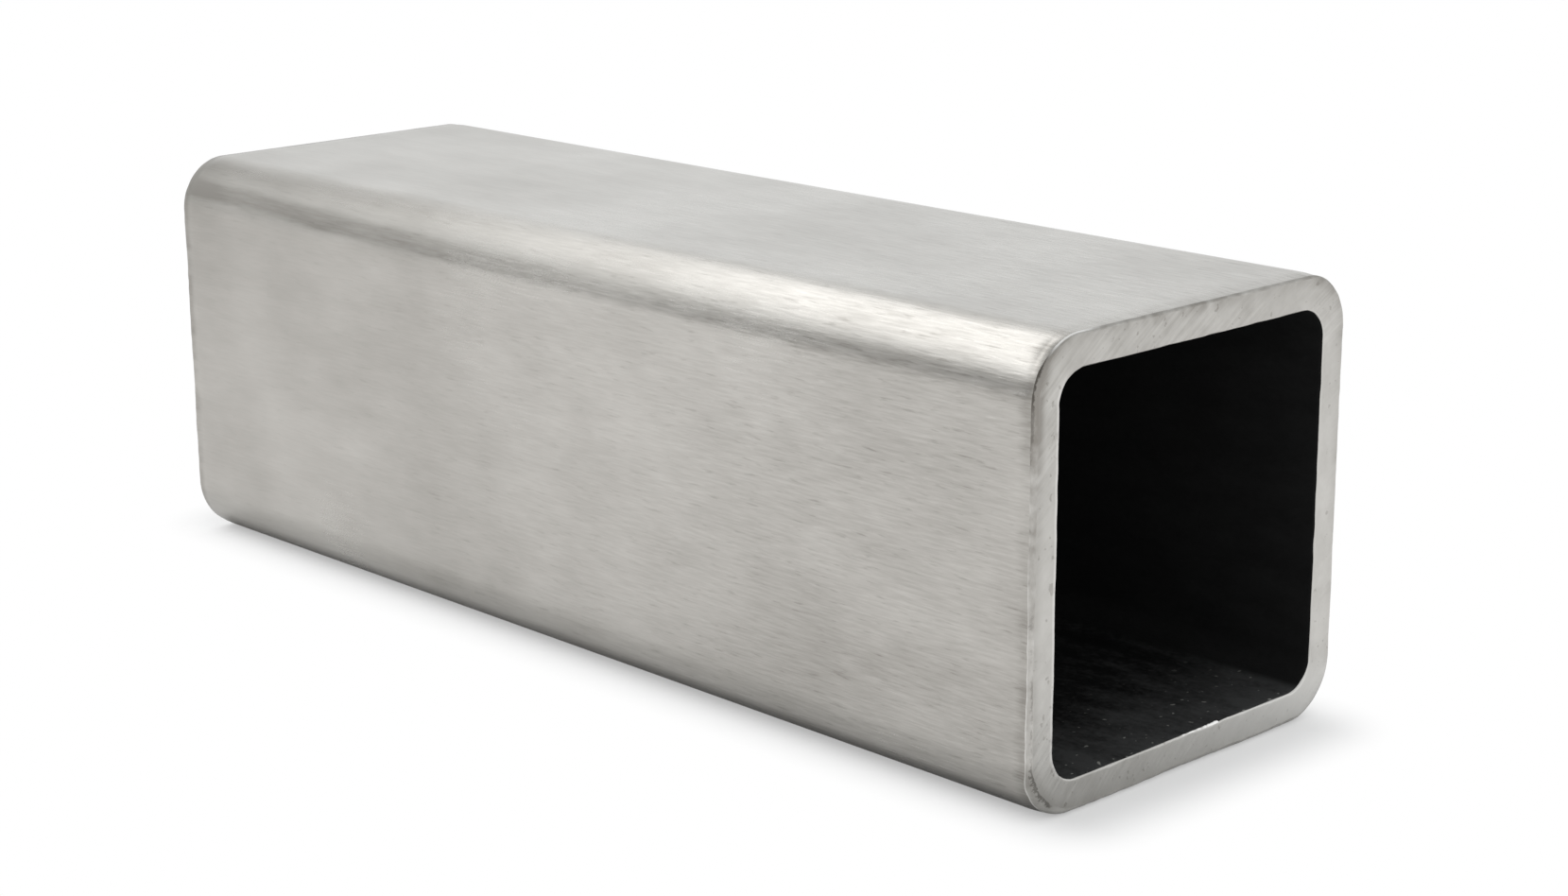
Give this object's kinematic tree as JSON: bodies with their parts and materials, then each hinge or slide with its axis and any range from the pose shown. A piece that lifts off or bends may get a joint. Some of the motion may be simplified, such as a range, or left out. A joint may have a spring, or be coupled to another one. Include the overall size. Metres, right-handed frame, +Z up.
{
  "type": "square tube",
  "caption": "Short sawn length of square hollow metal section with rolled corners and an open bore, lying on one wall.",
  "frame": {"origin": "middle of the underside, halfway between the sawn ends", "axes": "+X along the tube towards the sawn end seen in the picture, -Y towards the long side wall seen in the picture, +Z up"},
  "size_m": [0.118, 0.04, 0.04],
  "materials": {
    "brushed_stainless": "satin, grain along the tube"
  },
  "bodies": {
    "root": {"square_tube": "brushed_stainless"}
  },
  "joints": []
}
